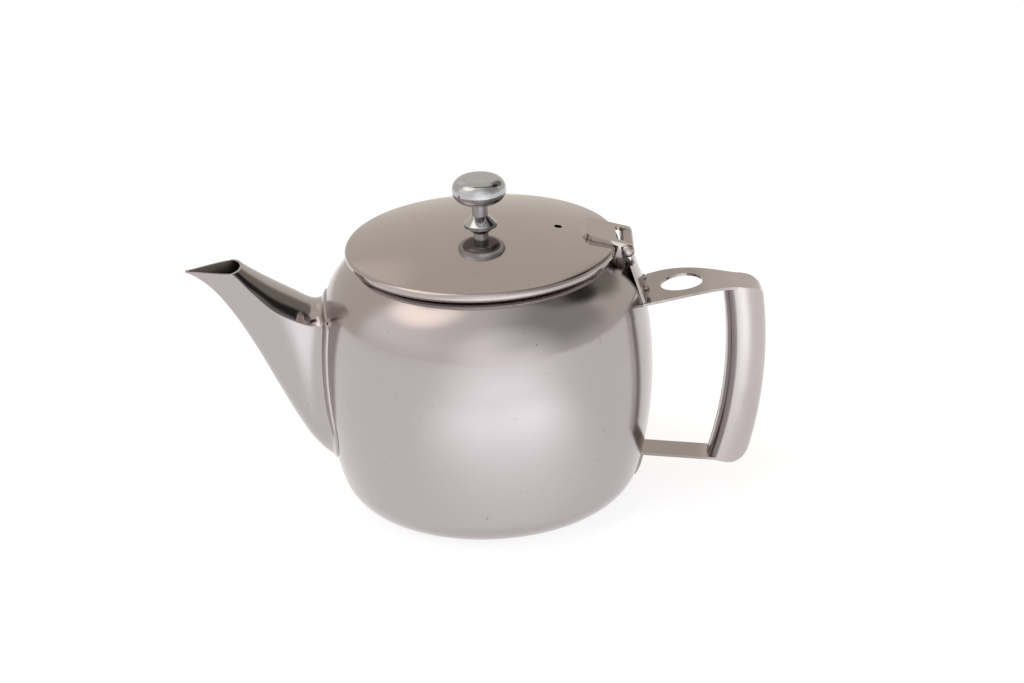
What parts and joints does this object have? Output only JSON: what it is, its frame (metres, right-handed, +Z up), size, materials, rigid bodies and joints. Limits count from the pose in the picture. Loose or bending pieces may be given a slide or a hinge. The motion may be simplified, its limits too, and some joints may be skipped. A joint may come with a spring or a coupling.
{
  "type": "teapot",
  "caption": "Stainless steel teapot with a rounded barrel body, a tapered spout, a bowed rolled handle and a hinged domed lid with a knob.",
  "frame": {"origin": "centre of the flat base, on the pot's axis, at table level", "axes": "+Z up along the pot's axis, +X towards the handle, -X towards the spout"},
  "size_m": [0.2077, 0.12, 0.1225],
  "materials": {
    "polished_steel": "gloss",
    "satin_steel": "satin",
    "chrome": "gloss",
    "plain_steel": "satin"
  },
  "bodies": {
    "pot": {"pot_body": "polished_steel", "spout": "polished_steel", "handle": "satin_steel", "handle_rivets": "satin_steel", "hinge_pin": "satin_steel"},
    "lid": {"lid": "polished_steel", "lid_hinge_strap": "satin_steel", "knob": "chrome", "knob_screw": "plain_steel", "knob_washer": "plain_steel"}
  },
  "joints": [
    {"name": "lid_hinge", "type": "hinge", "parent": "pot", "child": "lid", "pos_m": [0.052, 0, 0.09557], "axis": [0, 1, 0], "range_deg": [0, 110]}
  ]
}
